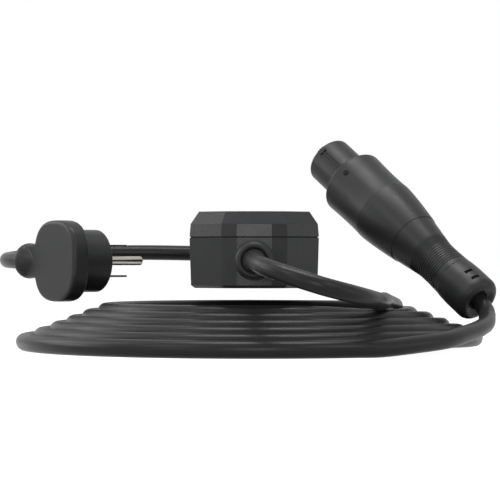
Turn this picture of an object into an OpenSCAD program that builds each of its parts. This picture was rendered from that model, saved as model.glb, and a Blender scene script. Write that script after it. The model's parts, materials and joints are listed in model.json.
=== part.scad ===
// Portable electric vehicle charger: a faceted control box carried by its stiff cords just above its
// own coiled charging cable, with a right-angle mains plug and a straight vehicle connector.
// Millimetres, +Z up, +Y away from the charging cable's outlet, origin at the centre of the box.

/* [Control box] */
// Length of the box over its two faceted ends
box_l = 244; // [200:1:300]
// Width of the box at its middle
box_w = 93; // [84:1:120]
// Height of the closed box
box_h = 55; // [52:1:80]
// Height of the lid above the parting line
lid_h = 19; // [17:0.5:26]
// Wall thickness of the base and the lid
wall = 3; // [2:0.25:4]
// Width of the flat panel at each end
panel_w = 25; // [24:0.5:30]
// Width of the box where the end flanks meet the corner facets
flank_w = 47; // [38:0.5:60]
// How far the flanks set back from the end panel
flank_set = 2.5; // [1:0.5:6]
// Length of the box's end over which the corner facets run
taper_l = 22; // [16:1:40]
// Radius of the upright corners
corner_r = 1; // [0.5:0.25:3]
// Height of the lid's sloping edge
chamfer_h = 9; // [6:0.5:12]
// How far the lid's sloping edge runs in
chamfer_in = 6; // [4:0.5:10]
// Radius that softens the lid's long edges
edge_r = 0.75; // [0.5:0.25:2]
// How far the lid's wall leans in up to its sloping edge
lid_lean = 0.75; // [0:0.25:2]
// How far the base wall leans in towards its bottom
draft_in = 1; // [0:0.25:2]
// Height of the bevel along the bottom edge
bevel_h = 2; // [1:0.25:4]
// How far the bottom bevel runs in
bevel_in = 2.8; // [1:0.2:5]

/* [Seal and screws] */
// Thickness of the rubber seal between base and lid
seal_t = 1; // [0.6:0.1:2]
// How far the seal lies back from the outer wall
seal_back = 0.8; // [0.4:0.1:1.4]
// Diameter of the lid screws
screw_d = 4; // [3:0.5:5]
// Length of a lid screw under its head
screw_l = 44; // [36:1:46]
// Diameter of a screw boss
boss_d = 9; // [8:0.5:10]
// Distance of the lid screws from the box's middle, across and along
screw_at = [33, 72]; // [20:1:80]
// Clearance round screws, pins and glands
clearance = 0.2; // [0.1:0.05:0.4]

/* [Glands] */
// Height of the cable outlets above the middle of the box
gland_z = -7.6; // [-10:0.2:-4]
// Diameter of the gland's collar
collar_d = 28.4; // [26:0.2:29]
// How far the collar stands out
collar_l = 8; // [6:0.5:12]
// Diameter of the collar's mouth
mouth_d = 16.6; // [15:0.2:18]
// Diameter of the gland where it passes the wall
neck_d = 21; // [19.5:0.5:22]
// Thickness of the flange behind the wall
flange_t = 3; // [2:0.5:5]

/* [Electronics] */
// Circuit board across, along and thick
board = [72, 116, 1.6]; // [1:0.1:140]
// Height of the posts that carry the board
post_h = 6; // [4:0.5:10]
// Distance of the board screws from the middle, across and along
board_screw_at = [31, 52]; // [20:1:60]
// Power relay across, along and high
relay = [16, 30, 20]; // [8:0.5:34]
// Supply transformer across, along and high
transformer = [22, 20, 17]; // [10:0.5:30]
// Terminal block across, along and high
terminal = [34, 11, 13]; // [8:0.5:40]
// Outer diameter of the current sensor ring
sensor_d = 26; // [20:0.5:32]
// Diameter and height of a capacitor
capacitor = [10, 18]; // [6:0.5:22]
// Diameter of the status lens in the lid
lens_d = 16; // [10:0.5:24]
// How far the status lens stands above the lid
lens_proud = 0.5; // [0.2:0.1:1.5]

/* [Cable] */
// Diameter of the charging cable
cable_d = 12.8; // [12:0.2:14]
// Diameter of the mains lead
lead_d = 12.6; // [11:0.2:13]

/* [Coil] */
// Turns in the coil
coil_turns = 6; // [5:1:8]
// Mean radius of the top turn
coil_r = 112.2; // [108:0.2:120]
// Growth of the radius from turn to turn
turn_step = 12.05; // [11:0.05:13]
// Height that each turn lies below the one inside it
turn_drop = 4.55; // [4:0.05:6]
// Extra radius of the outermost turn, which lies loose on the floor
loose_step = 1.2; // [0:0.2:4]
// Height of the box's bottom above the top turn
box_lift = 12.15; // [6:0.05:20]

/* [Mains plug] */
// Direction of the pins, as a turn from +X
plug_turn = 34.8; // [0:0.2:60]
// Diameter of the plug's flange
disc_d = 61.6; // [54:0.2:70]
// Thickness of the plug's flange
disc_t = 14; // [12:0.2:18]
// Radius on the flange's rim
disc_r = 2.4; // [1:0.2:5]
// Diameter of the pin carrier
cup_d = 49; // [42:0.5:52]
// Length of the pin carrier
cup_l = 26; // [18:0.2:30]
// Diameter of the cord neck
neck_tube_d = 27.6; // [22:0.2:30]
// Reach of the cord neck from the flange's axis
neck_reach = 47; // [42:0.5:60]
// Distance of the neck's axis from the flange's outer face
neck_in = 5; // [3:0.5:8]
// Depth of the neck's socket for the lead
neck_socket = 10; // [8:0.5:14]
// Diameter of the earth pin
earth_d = 7.1; // [5:0.1:8]
// Reach of the earth pin from the carrier's face
earth_l = 36; // [25:0.2:40]
// Distance of the earth pin from the plug's axis
earth_off = 9; // [7:0.5:12]
// Flat blade across, thick and its reach from the carrier's face
blade = [9, 1.5, 26]; // [1:0.1:32]
// Distance of each blade from the plug's middle plane
blade_off = 12; // [9:0.25:16]
// Depth to which pins and blades are moulded into the carrier
pin_root = 14; // [8:0.5:18]

/* [Vehicle connector] */
// Lean of the connector's axis from upright
grip_tilt = 55.7; // [40:0.1:80]
// Direction in which the connector points, as a turn from +X
grip_turn = 131.8; // [100:0.2:160]
// Roll of the connector, which sets where its key lies
grip_roll = 122; // [0:1:180]
// Diameter and length of the tail boot
boot = [36.4, 32]; // [24:0.2:42]
// Depth of the boot's socket for the cable
boot_socket = 14; // [10:0.5:20]
// Diameter of the grip's ribbed waist
waist_d = 33.2; // [30:0.2:36]
// Number of fine ribs round the waist
rib_count = 15; // [8:1:18]
// Distance between ribs
rib_pitch = 2.3; // [2:0.1:2.6]
// Depth of the groove beside a rib
rib_depth = 0.7; // [0.3:0.1:1.2]
// Distance from the tail to the lip of the sleeve
lip_at = 85; // [80:0.5:96]
// Diameter of the grip at the lip
lip_d = 42.5; // [38:0.5:46]
// Diameter of the sleeve at its front rim
sleeve_d = 53.8; // [48:0.2:60]
// Diameter of the sleeve where its cone ends
shoulder_d = 53; // [46:0.2:60]
// Depth of the hollow between the sleeve's shoulder and its rim
hollow = 0.6; // [0:0.1:2]
// Distance from the tail to the end of the sleeve's cone
cone_at = 124; // [116:1:136]
// Distance from the tail to the sleeve's front rim
sleeve_at = 167; // [155:1:180]
// Diameter of the nose
nose_d = 38.2; // [32:0.2:44]
// Distance from the tail to the nose's front
nose_at = 200; // [190:0.5:220]
// Key rib along the nose: width and height
key = [6, 1.2]; // [0.6:0.2:10]
// Diameter of the bores in the nose for power and for signal contacts
contact_d = [7.6, 4.4]; // [3:0.1:9]
// Depth of the contact bores
contact_depth = 26; // [20:1:32]

/* [Hidden] */
$fn = 64;

charcoal = "#2e2f31";
satin_black = "#242527";
rubber_black = "#1b1c1d";
nickel = "#b9b3a6";

end_y = box_l / 2;
gland_y = end_y - draft_in;
seam_z = box_h / 2 - lid_h;
lid_z = seam_z + seal_t;
floor_in = -box_h / 2 + wall;
board_z = floor_in + post_h;
board_top = board_z + board[2];
chamfer_z = box_h / 2 - chamfer_h;
arc_steps = 3;

coil_low = cable_d / 2;
coil_top = coil_low + turn_drop * (coil_turns - 1) + cable_d / 2;
floor_z = -box_h / 2 - box_lift - coil_top;
cord_sides = 10;

// Routes of the free cords, from the end named first
mains_route = [[-173.3, 76.2, -8.3], [-179, 84.4, -8.3], [-185.9, 94.3, -8.3], [-192, 104.5, -8.2],
               [-197.8, 119, -8], [-201.3, 138, -7.6], [-200, 158, -6.8], [-190, 180, -5.3],
               [-170, 198, -3.5], [-142, 206, -2], [-112, 208, -1.5], [-84, 208, -1.5],
               [-55, 206, -2], [-28, 198, -3], [-8, 178, -5], [-1, 156, -6.8], [0, 138, -7.6],
               [0, 121, -7.6]];
outlet_route = [[0, -121, -7.6], [0, -136, -7.6], [0.5, -148, -8.4], [6.5, -171, -11.7],
                [23, -188, -17.5], [45, -194, -24.6], [65, -185, -30], [79, -166, -33.9],
                [86, -143, -36], [90, -115, -37.2], [93, -88, -37.2], [95.5, -62, -37.4],
                [99, -38, -39], [104, -14, -41], [107.3, 8, -42.8], [103, 30.8, -44.2],
                [92.8, 53.2, -46.05]];
connector_route = [[89.45, -153.75, -68.2], [110.5, -139.5, -67], [136.5, -114, -64.5],
                   [152.6, -88, -61], [163.6, -63, -57.9], [171.1, -42, -54.6], [174.5, -27, -50.5],
                   [175, -17.5, -46.2], [171.1, -9.6, -39.5], [167.25, -5.3, -35.55],
                   [163.4, -1, -31.6]];

// Unit vector along a 2-D or 3-D vector
function unit(v) = v / norm(v);

// Left-hand normals before and after each corner of a closed outline
function normal(a, b) = let (u = unit(b - a)) [-u[1], u[0]];
function before(pts, i) = normal(pts[(i + len(pts) - 1) % len(pts)], pts[i]);
function after(pts, i) = normal(pts[i], pts[(i + 1) % len(pts)]);

// A closed convex outline, counter-clockwise, moved in by d
function inset(pts, d) =
    [for (i = [0:len(pts) - 1])
        let (m = before(pts, i), n = after(pts, i)) pts[i] + (m + n) * d / (1 + m * n)];

// The same outline with every corner turned into an arc
function rounded(pts, r) =
    let (centres = inset(pts, r))
    [for (i = [0:len(pts) - 1])
        let (m = before(pts, i), n = after(pts, i),
             start = atan2(-m[1], -m[0]),
             turn = acos(min(1, m * n)))
        for (k = [0:arc_steps]) let (a = start + turn * k / arc_steps)
            centres[i] + r * [cos(a), sin(a)]];

// Corners of an open profile turned into arcs, as [inset, height] pairs that climb
function soft_profile(pts, r) =
    [for (i = [0:len(pts) - 1])
        let (inner = i > 0 && i < len(pts) - 1)
        each inner ? soft_corner(pts[i - 1], pts[i], pts[i + 1], r) : [pts[i]]];
function soft_corner(a, b, c, r) =
    let (u = unit(a - b), v = unit(c - b), half = acos(u * v) / 2, reach = r / tan(half))
    [for (k = [0:arc_steps]) let (s = k / arc_steps)
        b + reach * (u * (1 - s) * (1 - s) + v * s * s)];

// Plan outline of the box: flat end panels, set-back flanks, corner facets and straight sides
half_plan = [[panel_w / 2, -end_y], [flank_w / 2, -end_y + flank_set],
             [box_w / 2, -end_y + taper_l]];
plan = [each half_plan,
        for (i = [2:-1:0]) [half_plan[i][0], -half_plan[i][1]],
        for (i = [0:2]) -half_plan[i],
        for (i = [2:-1:0]) [-half_plan[i][0], half_plan[i][1]]];

// Solid through rounded copies of the plan, one for each [inset, height] pair
module plan_loft(levels) {
    rings = [for (l = levels) [for (p = rounded(inset(plan, l[0]), corner_r)) [p[0], p[1], l[1]]]];
    n = len(rings[0]);
    top = len(rings) - 1;
    sides = [for (j = [0:top - 1]) for (i = [0:n - 1])
        let (a = j * n + i, b = j * n + (i + 1) % n) [a, a + n, b + n, b]];
    polyhedron(points = [for (r = rings) each r],
               faces = [[for (i = [0:n - 1]) i], each sides, [for (i = [n - 1:-1:0]) top * n + i]]);
}

// Upright prism of the plan moved in by d, from z0 to z1
module plan_prism(d, z0, z1) {
    translate([0, 0, z0]) linear_extrude(z1 - z0) polygon(inset(plan, d));
}

// A cable swept along its route, with flat ends
module cord(route, d) {
    last = len(route) - 1;
    rings = [for (i = [0:last])
        let (t = unit(route[min(i + 1, last)] - route[max(i - 1, 0)]),
             side = unit(cross(t, [0, 0, 1])),
             up = cross(side, t))
        [for (k = [0:cord_sides - 1]) let (a = 360 * k / cord_sides)
            route[i] + d / 2 * (cos(a) * side + sin(a) * up)]];
    n = cord_sides;
    sides = [for (j = [0:last - 1]) for (i = [0:n - 1])
        let (a = j * n + i, b = j * n + (i + 1) % n) [a, b, b + n, a + n]];
    polyhedron(points = [for (r = rings) each r],
               faces = [[for (i = [n - 1:-1:0]) i], each sides, [for (i = [0:n - 1]) last * n + i]]);
}

// Places for four screws
module four(at) {
    for (x = [-1, 1]) for (y = [-1, 1]) translate([x * at[0], y * at[1], 0]) children();
}

// The base

base_profile = soft_profile([[draft_in + bevel_in + 2 * edge_r, -box_h / 2],
                             [draft_in + bevel_in, -box_h / 2],
                             [draft_in, -box_h / 2 + bevel_h], [0, seam_z]], edge_r / 4);
head_d = screw_d * 1.8;
head_h = screw_d * 0.7;
head_z = -box_h / 2 + head_h + 1;

module box_base() {
    color(charcoal) difference() {
        union() {
            difference() {
                plan_loft(base_profile);
                plan_prism(wall + draft_in, floor_in, seam_z + 1);
            }
            four(screw_at) translate([0, 0, floor_in]) cylinder(d = boss_d, h = seam_z - floor_in);
            four(board_screw_at) translate([0, 0, floor_in]) cylinder(d = boss_d - 2, h = post_h);
        }
        for (side = [-1, 1]) translate([0, side * gland_y, gland_z]) rotate([-90 * side, 0, 0]) {
            translate([0, 0, -2 * wall]) cylinder(d = neck_d + 2 * clearance, h = 3 * wall);
            cylinder(d = collar_d + 2 * clearance, h = wall);
        }
        four(screw_at) {
            translate([0, 0, -box_h]) cylinder(d = screw_d + 2 * clearance, h = 2 * box_h);
            translate([0, 0, -box_h]) cylinder(d = head_d + 2 * clearance, h = head_z + box_h);
        }
        four(board_screw_at) translate([0, 0, board_z - board_screw_l])
            cylinder(d = board_screw_d + 2 * clearance, h = board_screw_l + 1);
    }
}

// The lid

lid_profile = soft_profile([[0, lid_z], [lid_lean, chamfer_z], [lid_lean + chamfer_in, box_h / 2],
                            [lid_lean + chamfer_in + 3 * edge_r, box_h / 2]], edge_r);
lens_seat = wall - 1;

module box_lid() {
    color(charcoal) difference() {
        union() {
            difference() {
                plan_loft(lid_profile);
                plan_prism(wall + lid_lean, lid_z - 1, chamfer_z);
                plan_prism(wall + lid_lean + chamfer_in, chamfer_z - 1, box_h / 2 - wall);
            }
            four(screw_at) translate([0, 0, lid_z])
                cylinder(d = boss_d, h = box_h / 2 - wall - lid_z + 0.5);
        }
        four(screw_at) translate([0, 0, lid_z - 1])
            cylinder(d = screw_d + 2 * clearance, h = head_z + screw_l + 1 - lid_z + 1);
        translate([0, 0, box_h / 2 - lens_seat]) cylinder(d = lens_d + 2 * clearance, h = wall);
        translate([0, 0, box_h / 2 - 2 * wall]) cylinder(d = guide_d + 2 * clearance, h = 2 * wall);
    }
}

module lid_seal() {
    color(rubber_black) difference() {
        plan_prism(seal_back, seam_z, lid_z);
        plan_prism(wall - 0.3, seam_z - 1, lid_z + 1);
    }
}

module lid_screws() {
    color(nickel) four(screw_at) translate([0, 0, head_z]) {
        cylinder(d = screw_d, h = screw_l);
        translate([0, 0, -head_h]) difference() {
            cylinder(d = head_d, h = head_h);
            translate([0, 0, -1]) cylinder(d = screw_d * 0.7, h = head_h / 2 + 1, $fn = 6);
        }
    }
}

// The status light

guide_d = 6;
lens_edge = 0.4;

module status_lens() {
    color("#3a3d3f") translate([0, 0, box_h / 2 - lens_seat]) rotate_extrude()
        polygon([[0, 0], [lens_d / 2, 0], [lens_d / 2, lens_seat + lens_proud - lens_edge],
                 [lens_d / 2 - lens_edge, lens_seat + lens_proud], [0, lens_seat + lens_proud]]);
}

module light_guide() {
    color("#dfe6ea") translate([0, 0, board_top])
        cylinder(d = guide_d, h = box_h / 2 - lens_seat - board_top);
}

// Cable glands, drawn along +Z and turned to point out of an end

collar_lip = 2.4;
seat_back = wall + flange_t;

module gland() {
    rotate_extrude() polygon([
        [0, -seat_back], [neck_d / 2 + 0.9, -seat_back], [neck_d / 2 + 0.9, -wall],
        [neck_d / 2, -wall], [neck_d / 2, 0], [collar_d / 2, 0], [collar_d / 2, 1.2],
        for (k = [0:6]) let (a = 15 * k)
            [mouth_d / 2 + collar_lip + (collar_d / 2 - mouth_d / 2 - collar_lip) * cos(a),
             1.2 + (collar_l - 1.2) * sin(a)],
        for (k = [1:6]) let (a = 90 + 15 * k)
            [mouth_d / 2 + collar_lip + collar_lip * cos(a), collar_l - collar_lip + collar_lip * sin(a)],
        [mouth_d / 2, 0], [0, 0]]);
}

module outlet_gland() {
    color(satin_black) translate([0, -gland_y, gland_z]) rotate([90, 0, 0]) gland();
}

module inlet_gland() {
    color(satin_black) translate([0, gland_y, gland_z]) rotate([-90, 0, 0]) gland();
}

// The circuit board and what stands on it

board_screw_d = 3;
board_screw_l = 6;
board_head_h = 2;
relay_x = 20;
transformer_in = 4;
transformer_y = 20;
capacitor_in = 6;
capacitor_y = 28;
capacitor_gap = 2;
sensor_l = 9;
sensor_foot = 3;
sensor_y = -28;
terminal_y = board[1] / 2 - terminal[1] / 2 - 1;

module circuit_board() {
    color("#1f4d36") difference() {
        translate([-board[0] / 2, -board[1] / 2, board_z]) cube(board);
        four(board_screw_at) translate([0, 0, board_z - 1])
            cylinder(d = board_screw_d + 2 * clearance, h = board[2] + 2);
    }
}

module board_screws() {
    color(nickel) four(board_screw_at) {
        translate([0, 0, board_top - board_screw_l])
            cylinder(d = board_screw_d, h = board_screw_l);
        translate([0, 0, board_top]) cylinder(d = 2 * board_screw_d, h = board_head_h);
    }
}

module power_relays() {
    color("#20242b") for (side = [-1, 1])
        translate([side * relay_x - relay[0] / 2, -relay[1] / 2 + 2, board_top]) cube(relay);
}

module supply_transformer() {
    color("#c9a227") translate([transformer_in - relay_x - transformer[0] / 2, transformer_y, board_top]) {
        cube([transformer[0], transformer[1], transformer[2] / 3]);
        translate([2, 2, transformer[2] / 3])
            cube([transformer[0] - 4, transformer[1] - 4, transformer[2] * 2 / 3]);
    }
}

module capacitors() {
    color("#27364f") for (k = [0, 1])
        translate([relay_x - capacitor_in + k * (capacitor[0] + capacitor_gap), capacitor_y, board_top])
            cylinder(d = capacitor[0], h = capacitor[1]);
}

module current_sensor() {
    color("#2b2b2b") translate([0, sensor_y, board_top]) {
        difference() {
            translate([0, 0, sensor_d / 2 + sensor_foot - 1])
                rotate([90, 0, 0]) cylinder(d = sensor_d, h = sensor_l, center = true);
            translate([0, 0, sensor_d / 2 + sensor_foot - 1])
                rotate([90, 0, 0]) cylinder(d = sensor_d / 2, h = 2 * sensor_l, center = true);
        }
        translate([-sensor_d / 4, -sensor_l / 2, 0]) cube([sensor_d / 2, sensor_l, sensor_foot]);
    }
}

module terminal_block() {
    difference() {
        translate([-terminal[0] / 2, -terminal[1] / 2, 0]) cube(terminal);
        for (k = [-1, 0, 1])
            translate([k * lead_gap, 0, terminal[2] - 4]) cylinder(d = 5, h = 5);
    }
}

module outlet_terminal() {
    color("#3b4046") translate([0, -terminal_y, board_top]) terminal_block();
}

module inlet_terminal() {
    color("#3b4046") translate([0, terminal_y, board_top]) terminal_block();
}

// Bared leads that run from the back of each gland to its terminal block

lead_gap = 5.6;
core_d = 4;
leads_y = terminal_y + terminal[1] / 2;
leads_l = gland_y - seat_back - leads_y;

module lead_set() {
    for (k = [-1, 0, 1]) translate([k * lead_gap, leads_y, lead_z]) rotate([-90, 0, 0])
        cylinder(d = core_d, h = leads_l);
}

lead_z = board_top + terminal[2] / 2 - 2;

module outlet_leads() {
    color("#7d4a2a") mirror([0, 1, 0]) lead_set();
}

module inlet_leads() {
    color("#7d4a2a") lead_set();
}

// Cables

module mains_cord() {
    color(rubber_black) cord(mains_route, lead_d);
}

module outlet_cord() {
    color(rubber_black) cord(outlet_route, cable_d);
}

module connector_cord() {
    color(rubber_black) cord(connector_route, cable_d);
}

// The coil: touching turns, each lower and wider than the one inside it, the outermost on the floor

function turn_r(k) = coil_r + turn_step * k + (k == coil_turns - 1 ? loose_step : 0);
function turn_z(k) = coil_low + turn_drop * (coil_turns - 1 - k);
coil_foot = 6;
web = 5;
top_start = 30;
top_gap = 80;
loose_end = -60;
loose_gap = 75;

module coil_section() {
    for (k = [0:coil_turns - 1]) translate([turn_r(k), turn_z(k)]) circle(d = cable_d, $fn = 32);
    for (k = [0:coil_turns - 2])
        polygon([[turn_r(k), turn_z(k) - web / 2], [turn_r(k + 1), turn_z(k + 1) - web / 2],
                 [turn_r(k + 1), turn_z(k + 1) + web / 2], [turn_r(k), turn_z(k) + web / 2]]);
    translate([turn_r(coil_turns - 1) - coil_foot / 2, 0]) square([coil_foot, cable_d / 2]);
}

module cable_coil() {
    outer = turn_r(coil_turns - 1);
    inner = turn_r(0);
    color(rubber_black) translate([0, 0, floor_z]) difference() {
        rotate_extrude($fn = 96) coil_section();
        rotate([0, 0, top_start - top_gap]) rotate_extrude(angle = top_gap)
            translate([inner - cable_d, turn_z(0) - cable_d / 2 + 0.5])
                square([cable_d * 1.5 + 0.4, cable_d * 2]);
        rotate([0, 0, loose_end]) rotate_extrude(angle = loose_gap)
            translate([outer - cable_d / 2 - 0.4, -1]) square([2 * cable_d, 3 * cable_d]);
    }
}

// The mains plug, drawn with its axis along +Z from the flange's outer face and its neck along +Y

plug_axis = [cos(plug_turn), sin(plug_turn), 0];
plug_side = [-sin(plug_turn), cos(plug_turn), 0];
plug_at = mains_route[0] - neck_in * plug_axis - (neck_reach - neck_socket) * plug_side;
neck_end_r = 1.5;
neck_round = 3;
neck_from = disc_d / 2 - 7;

module at_plug() {
    translate(plug_at) rotate([0, 90, plug_turn]) children();
}

// Disc profile with a bevel on its outer rim and an arc of the same size on its inner one
function disc_profile(r, t, f) = [[0, 0], [r - f, 0], [r - 0.8 * f, 0.08 * f], [r - 0.3 * f, 0.5 * f],
    [r - 0.05 * f, 0.85 * f], [r, 1.1 * f],
    for (k = [0:6]) let (a = 15 * k) [r - f + f * cos(a), t - f + f * sin(a)], [0, t]];

module plug_cover() {
    color(satin_black) at_plug() difference() {
        union() {
            rotate_extrude() polygon(disc_profile(disc_d / 2, disc_t, disc_r));
            translate([0, 0, neck_in]) rotate([-90, 0, 0]) rotate_extrude() polygon([
                [0, neck_from], [neck_tube_d / 2 - 1, neck_reach - 2 * neck_round],
                [neck_tube_d / 2, neck_reach - neck_round],
                for (k = [0:6]) let (a = 15 * k)
                    [neck_tube_d / 2 - neck_end_r + neck_end_r * cos(a),
                     neck_reach - neck_end_r + neck_end_r * sin(a)],
                [0, neck_reach]]);
        }
        translate([0, neck_reach - neck_socket, neck_in]) rotate([-90, 0, 0])
            cylinder(d = lead_d + 2 * clearance, h = neck_socket + 1);
    }
}

cup_z = disc_t;
cup_face = disc_t + cup_l;
cup_rim = 1.6;
earth_root_d = earth_d - 1.2;

module plug_carrier() {
    color(satin_black) at_plug() difference() {
        translate([0, 0, cup_z]) rotate_extrude() polygon([[0, 0], [cup_d / 2, 0],
            for (k = [0:6]) let (a = 15 * k)
                [cup_d / 2 - cup_rim + cup_rim * cos(a), cup_l - cup_rim + cup_rim * sin(a)],
            [0, cup_l]]);
        translate([0, -earth_off, cup_face - pin_root])
            cylinder(d = earth_root_d + 2 * clearance, h = pin_root + 1);
        for (side = [-1, 1]) translate([side * blade_off, 0, cup_face - pin_root])
            translate([-blade[1] / 2 - clearance, -blade[0] / 2 - clearance, 0])
                cube([blade[1] + 2 * clearance, blade[0] + 2 * clearance, pin_root + 1]);
    }
}

module earth_pin() {
    tip = earth_d / 2;
    color(nickel) at_plug() translate([0, -earth_off, cup_face - pin_root]) rotate_extrude()
        polygon([[0, 0], [earth_root_d / 2, 0], [earth_root_d / 2, pin_root], [tip, pin_root],
            for (k = [0:6]) let (a = 15 * k)
                [tip * cos(a), pin_root + earth_l - tip * 0.6 + tip * 0.6 * sin(a)]]);
}

// Flat blade with a chamfered tip
module flat_blade() {
    nick = blade[1];
    reach = pin_root + blade[2];
    translate([-blade[1] / 2, 0, 0]) rotate([90, 0, 90]) linear_extrude(blade[1])
        polygon([[-blade[0] / 2, 0], [blade[0] / 2, 0], [blade[0] / 2, reach - nick],
                 [blade[0] / 2 - nick, reach], [-blade[0] / 2 + nick, reach],
                 [-blade[0] / 2, reach - nick]]);
}

module upper_blade() {
    color(nickel) at_plug() translate([-blade_off, 0, cup_face - pin_root]) flat_blade();
}

module lower_blade() {
    color(nickel) at_plug() translate([blade_off, 0, cup_face - pin_root]) flat_blade();
}

// The vehicle connector, drawn with its axis along +Z from the tail and its key along +X

grip_axis = [sin(grip_tilt) * cos(grip_turn), sin(grip_tilt) * sin(grip_turn), cos(grip_tilt)];
grip_at = connector_route[len(connector_route) - 1] - boot_socket * grip_axis;
spigot_l = 8;
spigot_d = waist_d - 8;
boot_r = 6;
boot_dish = 2.5;
gap_d = cable_d + 3;
slot = [7, 2.8];
slot_turn = 35;

module at_grip() {
    translate(grip_at) rotate([0, grip_tilt, grip_turn]) rotate([0, 0, grip_roll]) children();
}

module tail_boot() {
    r = boot[0] / 2;
    color(satin_black) at_grip() difference() {
        rotate_extrude() polygon([
            [0, boot_socket], [cable_d / 2 + clearance, boot_socket],
            [cable_d / 2 + clearance, boot_socket / 2], [gap_d / 2, boot_socket / 2 - 1],
            [gap_d / 2, boot_dish], [r - boot_r, 0],
            for (k = [1:6]) let (a = -90 + 15 * k) [r - boot_r + boot_r * cos(a), boot_r + boot_r * sin(a)],
            [r, boot[1] - 11], [r - 0.35, boot[1] - 4], [r - 0.6, boot[1] - 1], [r - 1.1, boot[1]],
            [spigot_d / 2 + clearance, boot[1]],
            [spigot_d / 2 + clearance, boot[1] - spigot_l], [0, boot[1] - spigot_l]]);
        for (k = [0, 1]) rotate([0, 0, slot_turn]) translate([r, 0, 10 + 8 * k])
            cube([4, slot[0], slot[1]], center = true);
    }
}

// Radius of the grip along its axis: a ribbed waist that swells a little to the boot and opens to a cone
waist_at = 50;
waist_swell = 0.7;
cone_from = 57;
cone_soft = 3;
first_rib = boot[1] + 4.5;
last_rib = first_rib + rib_count * rib_pitch;
grip_slope = (lip_d - waist_d) / 2 / (lip_at - cone_from);
function grip_r(z) = waist_d / 2
    + waist_swell * pow(max(0, waist_at - z) / (waist_at - boot[1]), 2)
    + grip_slope * (norm([z - cone_from, cone_soft]) + z - cone_from) / 2;

module ribbed_grip() {
    color(satin_black) at_grip() rotate_extrude() polygon([
        [0, boot[1] - spigot_l], [spigot_d / 2, boot[1] - spigot_l], [spigot_d / 2, boot[1]],
        for (k = [0:2]) let (z = boot[1] + (first_rib - 1 - boot[1]) * k / 2) [grip_r(z), z],
        for (k = [0:rib_count - 1]) let (z = first_rib + k * rib_pitch)
            each [[grip_r(z), z], [grip_r(z) - rib_depth, z + rib_pitch * 0.3],
                  [grip_r(z), z + rib_pitch * 0.6]],
        for (k = [0:4]) let (z = last_rib + (lip_at - last_rib) * k / 4) [grip_r(z), z],
        [lip_d / 2 - lip_step, lip_at], [lip_d / 2 - lip_step, lip_at + lip_in], [0, lip_at + lip_in]]);
}

lip_in = 5;
lip_step = 2.5;
lip_t = 0.5;
nose_root = 34;
root_d = nose_d - 4;
rim_r = 1.6;

module connector_sleeve() {
    r = sleeve_d / 2;
    lip_r = lip_d / 2 + lip_t;
    bore = lip_d / 2 - lip_step + clearance;
    shoulder = shoulder_d / 2;
    color(satin_black) at_grip() difference() {
        rotate_extrude() polygon([
            [bore, lip_at], [lip_r - 0.3, lip_at],
            for (k = [0:8]) let (s = k / 8)
                [lip_r + (shoulder - lip_r) * (1 - pow(1 - s, 1.35)),
                 lip_at + 0.3 + (cone_at - lip_at - 0.3) * s],
            for (k = [1:7]) let (s = k / 8)
                [shoulder + (r - shoulder) * s - hollow * sin(180 * pow(s, 0.8)),
                 cone_at + (sleeve_at - rim_r - cone_at) * s],
            for (k = [0:4]) let (a = 22.5 * k)
                [r - rim_r + rim_r * cos(a), sleeve_at - rim_r + rim_r * sin(a)],
            [root_d / 2 + clearance, sleeve_at], [root_d / 2 + clearance, sleeve_at - nose_root],
            [0, sleeve_at - nose_root], [0, lip_at + lip_in], [bore, lip_at + lip_in]]);
        translate([r - lock_seat, 0, lock_at]) rotate([0, 90, 0])
            cylinder(d = lock_d + 2 * clearance, h = 2 * lock_seat);
    }
}

// Contact places on the nose's face: two power, one earth, two signal
power_at = [[-5.2, 7.2], [-5.2, -7.2], [6.6, 0]];
signal_at = [[3, 10.4], [3, -10.4]];
nose_rim = 1.6;

module connector_nose() {
    r = nose_d / 2;
    back = sleeve_at - nose_root;
    color(satin_black) at_grip() difference() {
        union() {
            rotate_extrude() polygon([
                [0, back], [root_d / 2, back], [root_d / 2, sleeve_at], [r, sleeve_at],
                for (k = [0:4]) let (a = 22.5 * k)
                    [r - nose_rim + nose_rim * cos(a), nose_at - nose_rim + nose_rim * sin(a)],
                [0, nose_at]]);
            for (side = [-1, 0, 1]) translate([r - 2, side * key[0] / 3 - key[0] / 9, sleeve_at])
                cube([2 + key[1] * (side == 0 ? 1 : 0.6), key[0] / 4.5, nose_at - sleeve_at - 1]);
            translate([r - 2, -key[0] / 2, nose_at - 6]) cube([2 + key[1] * 1.5, key[0], 3]);
        }
        for (p = power_at) translate([p[0], p[1], nose_at - contact_depth])
            cylinder(d = contact_d[0], h = contact_depth + 1);
        for (p = signal_at) translate([p[0], p[1], nose_at - contact_depth])
            cylinder(d = contact_d[1], h = contact_depth + 1);
    }
}

// Tubular contact at the bottom of its bore
contact_back = 1.5;

module contact(d) {
    difference() {
        cylinder(d = d - 2 * clearance, h = contact_depth - contact_back);
        translate([0, 0, 4]) cylinder(d = d / 2, h = contact_depth);
    }
}

module power_contacts() {
    color("#c8a25a") at_grip() for (p = power_at)
        translate([p[0], p[1], nose_at - contact_depth]) contact(contact_d[0]);
}

module signal_contacts() {
    color("#c8a25a") at_grip() for (p = signal_at)
        translate([p[0], p[1], nose_at - contact_depth]) contact(contact_d[1]);
}

// Small round lens set into the sleeve in line with the key
lock_d = 4.4;
lock_seat = 1.2;
lock_back = 9;
lock_at = sleeve_at - lock_back;

module lock_lens() {
    color("#0c0c0d") at_grip() translate([sleeve_d / 2 - lock_seat, 0, lock_at])
        rotate([0, 90, 0]) rotate_extrude() polygon([[0, 0], [lock_d / 2, 0],
            for (k = [0:6]) let (a = 15 * k) [lock_d / 2 * cos(a), lock_seat * (0.7 + 0.25 * sin(a))]]);
}

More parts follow.
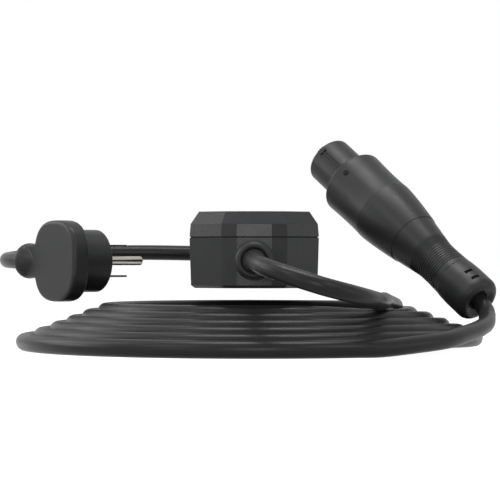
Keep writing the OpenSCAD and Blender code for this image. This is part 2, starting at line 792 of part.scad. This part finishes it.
box_base();
box_lid();
lid_seal();
lid_screws();
status_lens();
light_guide();
outlet_gland();
inlet_gland();
circuit_board();
board_screws();
power_relays();
supply_transformer();
capacitors();
current_sensor();
outlet_terminal();
inlet_terminal();
outlet_leads();
inlet_leads();
mains_cord();
outlet_cord();
cable_coil();
connector_cord();
plug_cover();
plug_carrier();
earth_pin();
upper_blade();
lower_blade();
tail_boot();
ribbed_grip();
connector_sleeve();
connector_nose();
power_contacts();
signal_contacts();
lock_lens();
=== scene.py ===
"""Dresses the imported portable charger: cables, materials, light and the photograph's view."""

import json
import math

import bpy
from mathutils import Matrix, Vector


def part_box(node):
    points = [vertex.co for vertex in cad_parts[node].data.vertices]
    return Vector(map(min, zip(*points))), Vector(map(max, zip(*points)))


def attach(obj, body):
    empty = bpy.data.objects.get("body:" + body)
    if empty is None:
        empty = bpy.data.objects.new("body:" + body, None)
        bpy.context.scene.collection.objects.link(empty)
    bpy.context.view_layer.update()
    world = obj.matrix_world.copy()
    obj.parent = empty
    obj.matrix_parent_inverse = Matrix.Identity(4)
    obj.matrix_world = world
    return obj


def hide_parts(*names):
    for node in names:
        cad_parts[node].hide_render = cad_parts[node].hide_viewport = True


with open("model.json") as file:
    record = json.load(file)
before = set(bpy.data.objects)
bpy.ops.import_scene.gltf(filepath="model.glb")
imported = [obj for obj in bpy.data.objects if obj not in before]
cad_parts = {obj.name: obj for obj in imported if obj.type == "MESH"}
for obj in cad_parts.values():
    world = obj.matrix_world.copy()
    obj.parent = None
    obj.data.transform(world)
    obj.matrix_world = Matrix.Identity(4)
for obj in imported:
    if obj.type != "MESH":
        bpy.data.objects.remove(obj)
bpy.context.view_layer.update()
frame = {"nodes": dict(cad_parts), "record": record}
nodes = frame["nodes"]

MM = 0.001
UP = Vector((0, 0, 1))
FLOOR_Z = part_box("cable_coil")[0].z
CABLE_D = 0.0128
LEAD_D = 0.0126

# The camera in metres and degrees, fitted to the photograph
CAMERA_X, CAMERA_Y = -0.00304, -1.824
CAMERA_OVER_FLOOR = 0.070
CAMERA_TILT = 90.167
SENSOR, LENS = 36.0, 172.8

# Routes of the free cords in millimetres: plug to box, box to coil, and coil to connector
MAINS_ROUTE = [(-173.3, 76.2, -8.3), (-179, 84.4, -8.3), (-185.9, 94.3, -8.3), (-192, 104.5, -8.2),
               (-197.8, 119, -8), (-201.3, 138, -7.6), (-200, 158, -6.8), (-190, 180, -5.3),
               (-170, 198, -3.5), (-142, 206, -2), (-112, 208, -1.5), (-84, 208, -1.5), (-55, 206, -2),
               (-28, 198, -3), (-8, 178, -5), (-1, 156, -6.8), (0, 138, -7.6), (0, 121, -7.6)]
OUTLET_ROUTE = [(0, -121, -7.6), (0, -136, -7.6), (0.5, -148, -8.4), (6.5, -171, -11.7), (23, -188, -17.5),
                (45, -194, -24.6), (65, -185, -30), (79, -166, -33.9), (86, -143, -36), (90, -115, -37.2),
                (93, -88, -37.2), (95.5, -62, -37.4), (99, -38, -39), (104, -14, -41), (107.3, 8, -42.8),
                (103, 30.8, -44.2)]
CONNECTOR_ROUTE = [(110.5, -139.5, -67), (136.5, -114, -64.5), (152.6, -88, -61), (165, -63, -57.9),
                   (172.4, -42, -54.6), (174.5, -27, -50.5), (175, -17.5, -46.2), (171.1, -9.6, -39.5),
                   (167.25, -5.3, -35.55), (163.4, -1, -31.6)]

# The coil winds outwards and down, a turn at a time, from where the outlet stretch ends
# Its radius is given for half a turn, and TOP_TURN is the top turn's height over the floor
COIL_R, HALF_TURN = 112.2, 0.5
TURN_STEP, TURN_DROP = 12.05, 4.55
TURNS_DOWN = 5
TOP_TURN = 29.15
FIRST_TURN = 30 / 360
LAST_TURN = 5 + 300 / 360
POINTS_A_TURN = 60
# The outermost turn lies a little looser
LOOSE_STEP, LOOSE_FROM = 1.2, 4.5
# The part of a turn over which the cable steps down to the next one
STEP_OVER = 0.30
# Where the outlet stretch crosses the top turn and presses it down: place, depth and spread
DIP_AT, DIP, DIP_OVER = 0.90, 3.6, 0.07

# A turned shape closes on its axis at this radius, in millimetres
AXIS_R = 0.01

# The plug's flange and neck in millimetres: the flange lies in the plug's own XY plane, pins along its Z
PLUG_AT = (-156.29, 42.96, -8.3)
PLUG_TURN = 34.8
FLANGE_R, FLANGE_T = 31.7, 14.0
# Power of the flange's outline: 2 is a circle, larger is squarer
FLANGE_SQUARE = 2.75
# The front edge's insets and depths as parts of its bevel, and the back edge's insets and heights
FLANGE_BEVEL = 2.6
FRONT_EDGE = [(1, 0), (0.8, 0.06), (0.3, 0.4), (0.05, 0.8), (0, 1.1)]
BACK_EDGE = [(0, 1.6), (0.5, 0.5), (1.6, 0)]
# The neck's radius against the distance from the plug's centre, out along it and back into its socket
NECK_IN = 5.0
NECK_SHAPE = [(AXIS_R, 26), (5, 32), (9.5, 38), (13, 41.5), (14.1, 43.5), (14.1, 46), (13.5, 47.2),
              (12.4, 47.6), (6.5, 47.6), (6.5, 37), (AXIS_R, 37)]
# The flange's face runs on over the neck: half its height there, its reach and its depth
TONGUE = (13.2, 41.0, 12.0)
# How finely the three forms grow together, in metres, and how much they are smoothed
GROW_VOXEL = 0.0007
SMOOTH_FACTOR, SMOOTH_ROUNDS = 0.5, 8

# The connector's ribbed grip in millimetres, along the connector's axis from its tail
GRIP_AT = (171.11, -9.62, -39.49)
GRIP_TILT, GRIP_TURN = 55.7, 131.8
GRIP_FROM, GRIP_LIP = 32.0, 85.0
WAIST_R, LIP_R = 16.6, 21.25
WAIST_AT, WAIST_SWELL = 50.0, 0.7
CONE_FROM, CONE_SOFT, CONE_STEPS = 57.0, 3.0, 12
# The spigots in the tail boot and in the sleeve: how far they stand back, and their lengths
TAIL_BACK, TAIL_LENGTH = 4, 8
HEAD_BACK, HEAD_LENGTH = 2.5, 5
RIBS = 13
FIRST_RIB, RIB_PITCH, RIB_DEPTH = 36.5, 2.2, 0.5
PLAIN_END = FIRST_RIB - 0.6
# Where a groove is deepest and where it ends, as parts of the pitch
GROOVE_AT, GROOVE_END = 0.3, 0.6
SHARP_EDGE = 25


def metres(points):
    return [Vector(p) * MM for p in points]


def smooth_line(points, step=0.006):
    """A smooth line through the points, with its own points about a step apart."""
    line = []
    last = len(points) - 1
    for i in range(last):
        p0, p1, p2, p3 = (points[min(max(i + k, 0), last)] for k in (-1, 0, 1, 2))
        count = max(1, round((p2 - p1).length / step))
        for k in range(count):
            s = k / count
            line.append(0.5 * (2 * p1 + (p2 - p0) * s + (2 * p0 - 5 * p1 + 4 * p2 - p3) * s * s
                               + (3 * p1 - p0 - 3 * p2 + p3) * s ** 3))
    line.append(points[last])
    return line


def clamp(value):
    return min(1.0, max(0.0, value))


def smooth_step(value):
    value = clamp(value)
    return value * value * (3 - 2 * value)


def coil_point(t):
    """Centre of the coiled cable after t turns, counted from the +X side."""
    radius = COIL_R + TURN_STEP * (t - HALF_TURN) + LOOSE_STEP * clamp(t - LOOSE_FROM)
    drop = sum(smooth_step((t - turn) / STEP_OVER + 0.5) for turn in range(1, TURNS_DOWN + 1))
    dip = DIP * math.exp(-((t - DIP_AT) / DIP_OVER) ** 2)
    angle = 2 * math.pi * t
    return Vector((radius * math.cos(angle) * MM, radius * math.sin(angle) * MM,
                   FLOOR_Z + (TOP_TURN - TURN_DROP * drop - dip) * MM))


def coil_line():
    count = round((LAST_TURN - FIRST_TURN) * POINTS_A_TURN)
    return [coil_point(FIRST_TURN + (LAST_TURN - FIRST_TURN) * k / count) for k in range(count + 1)]


def circle(sides):
    return [2 * math.pi * k / sides for k in range(sides)]


def mesh_object(name, points, faces):
    mesh = bpy.data.meshes.new(name)
    mesh.from_pydata(points, [], faces)
    mesh.update()
    piece = bpy.data.objects.new(name, mesh)
    bpy.context.scene.collection.objects.link(piece)
    return piece


def shade_smooth(faces):
    for face in faces:
        face.use_smooth = True


def tube(name, line, diameter, sides=16):
    """A round cable along a line, with closed ends."""
    last = len(line) - 1
    points = []
    faces = []
    side = None
    for i, place in enumerate(line):
        along = (line[min(i + 1, last)] - line[max(i - 1, 0)]).normalized()
        side = along.cross(UP) if side is None else side - along * side.dot(along)
        side.normalize()
        up = side.cross(along)
        for turn in circle(sides):
            points.append(place + (side * math.cos(turn) + up * math.sin(turn)) * (diameter / 2))
    for i in range(last):
        for k in range(sides):
            a, b = i * sides + k, i * sides + (k + 1) % sides
            faces.append((a, a + sides, b + sides, b))
    ends = [tuple(range(sides)), tuple(last * sides + k for k in reversed(range(sides)))]
    piece = mesh_object(name, points, faces + ends)
    shade_smooth(piece.data.polygons[:-len(ends)])
    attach(piece, "root")
    return piece


def skin(rings):
    """Points and faces of a closed skin over rings of equally many points."""
    count = len(rings[0])
    points = [point for ring in rings for point in ring]
    faces = [tuple(reversed(range(count))), tuple(len(points) - count + k for k in range(count))]
    for start in range(0, len(points) - count, count):
        for k in range(count):
            after = (k + 1) % count
            faces.append((start + k, start + after, start + count + after, start + count + k))
    return points, faces


def flange_ring(inset, depth, turns):
    """One outline of the flange: a circle drawn out towards its corners."""
    ring = []
    for turn in turns:
        across, up = abs(math.cos(turn)) ** FLANGE_SQUARE, abs(math.sin(turn)) ** FLANGE_SQUARE
        reach = (FLANGE_R - inset) / (across + up) ** (1 / FLANGE_SQUARE)
        ring.append(Vector((reach * math.cos(turn), reach * math.sin(turn), depth)))
    return ring


def plug_body(name, sides=96):
    """The plug's squared flange and its neck, grown into one smooth moulding."""
    turns = circle(sides)
    levels = [(FLANGE_BEVEL * inset, FLANGE_BEVEL * depth) for inset, depth in FRONT_EDGE]
    levels += [(inset, FLANGE_T - height) for inset, height in BACK_EDGE]
    flange = [flange_ring(inset, depth, turns) for inset, depth in levels]
    neck = [[Vector((radius * math.cos(turn), along, NECK_IN + radius * math.sin(turn))) for turn in turns]
            for radius, along in NECK_SHAPE]
    half, reach, depth = TONGUE
    tongue = [[Vector((x, y, z)) for x, y in ((-half, 0), (half, 0), (half, reach), (-half, reach))]
              for z in (0, depth)]
    points, faces = skin(flange)
    for rings in (neck, tongue):
        more, more_faces = skin(rings)
        faces += [tuple(len(points) + k for k in face) for face in more_faces]
        points += more
    axis = Vector((math.cos(math.radians(PLUG_TURN)), math.sin(math.radians(PLUG_TURN)), 0))
    side = Vector((-axis.y, axis.x, 0))
    placed = [(Vector(PLUG_AT) - UP * p.x + side * p.y + axis * p.z) * MM for p in points]
    piece = mesh_object(name, placed, faces)
    remesh = piece.modifiers.new("grow", "REMESH")
    remesh.mode = "VOXEL"
    remesh.voxel_size = GROW_VOXEL
    smooth = piece.modifiers.new("smooth", "SMOOTH")
    smooth.factor = SMOOTH_FACTOR
    smooth.iterations = SMOOTH_ROUNDS
    grown = bpy.data.meshes.new_from_object(piece.evaluated_get(bpy.context.evaluated_depsgraph_get()))
    piece.modifiers.clear()
    piece.data = grown
    grown.name = name
    shade_smooth(grown.polygons)
    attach(piece, "root")
    return piece


def grip_radius(z):
    """A waist that swells a little to the tail and opens to a cone."""
    swell = WAIST_SWELL * (max(0.0, WAIST_AT - z) / (WAIST_AT - GRIP_FROM)) ** 2
    slope = (LIP_R - WAIST_R) / (GRIP_LIP - CONE_FROM)
    return WAIST_R + swell + slope * (math.hypot(z - CONE_FROM, CONE_SOFT) + z - CONE_FROM) / 2


def grip_shape():
    """Radius against height along the grip: tail spigot, plain ring, ribs, cone and head spigot."""
    tail, head = WAIST_R - TAIL_BACK, LIP_R - HEAD_BACK
    last = FIRST_RIB + RIBS * RIB_PITCH
    shape = [(AXIS_R, GRIP_FROM - TAIL_LENGTH), (tail, GRIP_FROM - TAIL_LENGTH), (tail, GRIP_FROM)]
    shape += [(grip_radius(z), z) for z in (GRIP_FROM, (GRIP_FROM + FIRST_RIB) / 2, PLAIN_END)]
    for k in range(RIBS):
        z = FIRST_RIB + k * RIB_PITCH
        shape += [(grip_radius(z), z), (grip_radius(z) - RIB_DEPTH, z + RIB_PITCH * GROOVE_AT),
                  (grip_radius(z), z + RIB_PITCH * GROOVE_END)]
    cone = [last + (GRIP_LIP - last) * k / CONE_STEPS for k in range(CONE_STEPS + 1)]
    shape += [(grip_radius(z), z) for z in cone]
    return shape + [(head, GRIP_LIP), (head, GRIP_LIP + HEAD_LENGTH), (AXIS_R, GRIP_LIP + HEAD_LENGTH)]


def ribbed_grip(name, sides=96):
    """The grip's shell, turned about the connector's axis."""
    tilt, turn = math.radians(GRIP_TILT), math.radians(GRIP_TURN)
    axis = Vector((math.sin(tilt) * math.cos(turn), math.sin(tilt) * math.sin(turn), math.cos(tilt)))
    across = Vector((-math.sin(turn), math.cos(turn), 0))
    up = axis.cross(across)
    rings = []
    for radius, z in grip_shape():
        centre = Vector(GRIP_AT) + axis * z
        rings.append([(centre + (across * math.cos(a) + up * math.sin(a)) * radius) * MM
                      for a in circle(sides)])
    piece = mesh_object(name, *skin(rings))
    shade_smooth(piece.data.polygons)
    piece.data.set_sharp_from_angle(angle=math.radians(SHARP_EDGE))
    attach(piece, "root")
    return piece


# Camera

camera_data = bpy.data.cameras.new("camera")
camera_data.sensor_width = SENSOR
camera_data.lens = LENS
camera = bpy.data.objects.new("camera", camera_data)
camera.location = (CAMERA_X, CAMERA_Y, FLOOR_Z + CAMERA_OVER_FLOOR)
camera.rotation_euler = (math.radians(CAMERA_TILT), 0.0, 0.0)
bpy.context.scene.collection.objects.link(camera)
bpy.context.scene.camera = camera

# Cables, with the mouldings on their ends

plug = plug_body("plug_body")
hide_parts("plug_cover")
mains_line = smooth_line(metres(reversed(MAINS_ROUTE)))
mains_cable = tube("mains_cable", mains_line, LEAD_D)
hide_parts("mains_cord")

grip = ribbed_grip("grip")
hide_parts("ribbed_grip")
charging_line = smooth_line(metres(OUTLET_ROUTE) + coil_line() + metres(CONNECTOR_ROUTE))
charging_cable = tube("charging_cable", charging_line, CABLE_D)
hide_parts("outlet_cord", "cable_coil", "connector_cord")

# Materials: the noise's scales are in periods a metre, and its values mostly lie from low to high

PLASTIC_TONE, PLASTIC_SHEEN = 60.0, 140.0
METAL_TONE, METAL_SHEEN = 300.0, 900.0
TONE_DETAIL, SHEEN_DETAIL, GRAIN_DETAIL = 3.0, 4.0, 2.0
METAL_DEPTH, METAL_STRENGTH = 0.000005, 0.1
NOISE_LOW, NOISE_HIGH = 0.3, 0.7

looks = {}


def new_material(name):
    material = bpy.data.materials.new(name)
    material.use_nodes = True
    looks[name] = material
    tree = material.node_tree
    return tree, tree.nodes["Principled BSDF"]


def noise(tree, scale, detail):
    """Noise in the part's own frame."""
    coords = tree.nodes.new("ShaderNodeTexCoord")
    texture = tree.nodes.new("ShaderNodeTexNoise")
    texture.inputs["Scale"].default_value = scale
    texture.inputs["Detail"].default_value = detail
    tree.links.new(coords.outputs["Object"], texture.inputs["Vector"])
    return texture.outputs["Fac"]


def tint(tree, shader, scale, dark, light):
    node = tree.nodes.new("ShaderNodeMix")
    node.data_type = "RGBA"
    node.inputs["A"].default_value = (*dark, 1.0)
    node.inputs["B"].default_value = (*light, 1.0)
    tree.links.new(noise(tree, scale, TONE_DETAIL), node.inputs["Factor"])
    tree.links.new(node.outputs["Result"], shader.inputs["Base Color"])


def sheen(tree, shader, scale, rough):
    node = tree.nodes.new("ShaderNodeMapRange")
    node.inputs["From Min"].default_value = NOISE_LOW
    node.inputs["From Max"].default_value = NOISE_HIGH
    node.inputs["To Min"].default_value, node.inputs["To Max"].default_value = rough
    tree.links.new(noise(tree, scale, SHEEN_DETAIL), node.inputs["Value"])
    tree.links.new(node.outputs["Result"], shader.inputs["Roughness"])


def bump(tree, shader, scale, depth, strength):
    node = tree.nodes.new("ShaderNodeBump")
    node.inputs["Distance"].default_value = depth
    node.inputs["Strength"].default_value = strength
    tree.links.new(noise(tree, scale, GRAIN_DETAIL), node.inputs["Height"])
    tree.links.new(node.outputs["Normal"], shader.inputs["Normal"])


def moulded(name, dark, light, rough, gloss=0.12, grain=2600.0, depth=0.00004, strength=0.25):
    """Moulded plastic: a fine spark-eroded grain, with slow changes of tone and sheen."""
    tree, shader = new_material(name)
    shader.inputs["Specular IOR Level"].default_value = gloss
    tint(tree, shader, PLASTIC_TONE, dark, light)
    sheen(tree, shader, PLASTIC_SHEEN, rough)
    bump(tree, shader, grain, depth, strength)


def plated(name, dark, light, rough):
    """Plated or turned metal, with small changes of tone and sheen and a trace of relief."""
    tree, shader = new_material(name)
    shader.inputs["Metallic"].default_value = 1.0
    tint(tree, shader, METAL_TONE, dark, light)
    sheen(tree, shader, METAL_SHEEN, rough)
    bump(tree, shader, METAL_SHEEN, METAL_DEPTH, METAL_STRENGTH)


moulded("housing", (0.019, 0.0194, 0.0204), (0.023, 0.0234, 0.0244), (0.26, 0.30))
moulded("moulding", (0.015, 0.0153, 0.016), (0.018, 0.0183, 0.019), (0.38, 0.44), gloss=0.13)
moulded("cable_jacket", (0.010, 0.010, 0.0105), (0.013, 0.013, 0.0135), (0.33, 0.38), gloss=0.11,
        grain=700.0, strength=0.04)
moulded("seal_rubber", (0.006, 0.006, 0.006), (0.009, 0.009, 0.009), (0.6, 0.75))
plated("nickel", (0.36, 0.34, 0.31), (0.42, 0.40, 0.365), (0.16, 0.22))
plated("steel", (0.50, 0.50, 0.51), (0.58, 0.58, 0.59), (0.30, 0.40))
moulded("smoked_lens", (0.006, 0.006, 0.007), (0.009, 0.009, 0.010), (0.42, 0.50), gloss=0.05,
        strength=0.05)
moulded("clear_guide", (0.72, 0.76, 0.80), (0.80, 0.84, 0.87), (0.10, 0.15), gloss=0.5, strength=0.05)
moulded("board", (0.016, 0.075, 0.042), (0.024, 0.10, 0.056), (0.30, 0.40))
moulded("device_black", (0.026, 0.026, 0.030), (0.033, 0.033, 0.038), (0.40, 0.55))
moulded("device_grey", (0.06, 0.065, 0.075), (0.075, 0.08, 0.09), (0.40, 0.55))
moulded("winding_tape", (0.52, 0.31, 0.02), (0.62, 0.39, 0.04), (0.30, 0.40))
moulded("sleeve_blue", (0.024, 0.05, 0.10), (0.034, 0.066, 0.13), (0.20, 0.30))
moulded("core_brown", (0.17, 0.06, 0.025), (0.22, 0.08, 0.033), (0.35, 0.45))
plated("contact_brass", (0.52, 0.33, 0.09), (0.60, 0.39, 0.12), (0.25, 0.35))


def dress(piece, look):
    piece.data.materials.clear()
    piece.data.materials.append(look)


slots = {part["node"]: part["material_slot"] for part in frame["record"]["subparts"]}
for name, node in nodes.items():
    dress(node, looks[slots[name]])
for cable in (mains_cable, charging_cable):
    dress(cable, looks["cable_jacket"])
for moulding in (plug, grip):
    dress(moulding, looks["moulding"])

# Floor, world and lamps: what the camera sees is white, and what lights the object is grey

FLOOR_HALF = 40
FLOOR_BELOW = 0.0001
FLOOR_LIT, FLOOR_PALE, FLOOR_GLOW = 0.25, 0.28, 0.96
WORLD_LIT, WORLD_SEEN = 0.25, 1.0


def grey(value):
    return (value, value, value, 1.0)


def backdrop_mix(tree, seen, lit):
    """Camera, glossy and transmitted rays see one shader, and all other rays the other."""
    path = tree.nodes.new("ShaderNodeLightPath")
    either = path.outputs["Is Camera Ray"]
    for ray in ("Is Glossy Ray", "Is Transmission Ray"):
        node = tree.nodes.new("ShaderNodeMath")
        node.operation = "MAXIMUM"
        tree.links.new(either, node.inputs[0])
        tree.links.new(path.outputs[ray], node.inputs[1])
        either = node.outputs[0]
    mix = tree.nodes.new("ShaderNodeMixShader")
    tree.links.new(either, mix.inputs[0])
    tree.links.new(lit, mix.inputs[1])
    tree.links.new(seen, mix.inputs[2])
    return mix.outputs[0]


def diffuse(tree, value):
    node = tree.nodes.new("ShaderNodeBsdfDiffuse")
    node.inputs["Color"].default_value = grey(value)
    return node.outputs[0]


def background(tree, strength):
    node = tree.nodes.new("ShaderNodeBackground")
    node.inputs["Color"].default_value = grey(1.0)
    node.inputs["Strength"].default_value = strength
    return node.outputs[0]


def floor_material():
    """Almost white where it is seen, and still taking the object's shadow."""
    material = bpy.data.materials.new("floor")
    material.use_nodes = True
    tree = material.node_tree
    tree.nodes.clear()
    out = tree.nodes.new("ShaderNodeOutputMaterial")
    glow = tree.nodes.new("ShaderNodeEmission")
    glow.inputs["Strength"].default_value = FLOOR_GLOW
    both = tree.nodes.new("ShaderNodeAddShader")
    tree.links.new(diffuse(tree, FLOOR_PALE), both.inputs[0])
    tree.links.new(glow.outputs[0], both.inputs[1])
    surface = backdrop_mix(tree, both.outputs[0], diffuse(tree, FLOOR_LIT))
    tree.links.new(surface, out.inputs["Surface"])
    return material


corners = [(x * FLOOR_HALF, y * FLOOR_HALF, 0) for x, y in ((-1, -1), (1, -1), (1, 1), (-1, 1))]
floor = mesh_object("floor", corners, [(0, 1, 2, 3)])
floor.data.materials.append(floor_material())
floor.location = (0.0, 0.0, FLOOR_Z - FLOOR_BELOW)

world = bpy.data.worlds.new("world")
bpy.context.scene.world = world
world.use_nodes = True
world_tree = world.node_tree
world_tree.nodes.clear()
world_out = world_tree.nodes.new("ShaderNodeOutputWorld")
world_mix = backdrop_mix(world_tree, background(world_tree, WORLD_SEEN), background(world_tree, WORLD_LIT))
world_tree.links.new(world_mix, world_out.inputs["Surface"])


def softbox(name, place, size, watts, target=(0.0, 0.0, 0.0)):
    data = bpy.data.lights.new(name, "AREA")
    data.shape = "RECTANGLE"
    data.size, data.size_y = size
    data.energy = watts
    lamp = bpy.data.objects.new(name, data)
    lamp.location = place
    lamp.rotation_euler = (Vector(target) - Vector(place)).to_track_quat("-Z", "Y").to_euler()
    bpy.context.scene.collection.objects.link(lamp)


softbox("front", (0.0, -2.3, 0.22), (0.6, 0.5), 16.0)
softbox("left", (-1.38, 0.4, 0.74), (1.1, 0.7), 11.0)
# A low strip that shows in the lid's leaning flank and less in the base's
softbox("left_low", (-1.5, 0.0, 0.29), (0.7, 0.14), 5.0, target=(0.0, 0.0, 0.01))
softbox("left_high", (-1.0, 0.0, 1.0), (0.5, 0.5), 2.5)
softbox("over", (0.0, -0.05, 1.3), (0.9, 0.25), 20.0)
softbox("upper_left", (-1.0, -1.05, 1.0), (0.45, 0.45), 7.0)
softbox("low_left", (-1.2, -1.6, 0.15), (0.5, 0.5), 5.0)
softbox("upper_right", (1.0, -1.2, 0.9), (0.6, 0.6), 8.0)
softbox("right", (1.45, -0.5, 0.15), (0.9, 0.6), 4.0)

bpy.context.scene.view_settings.view_transform = "Standard"
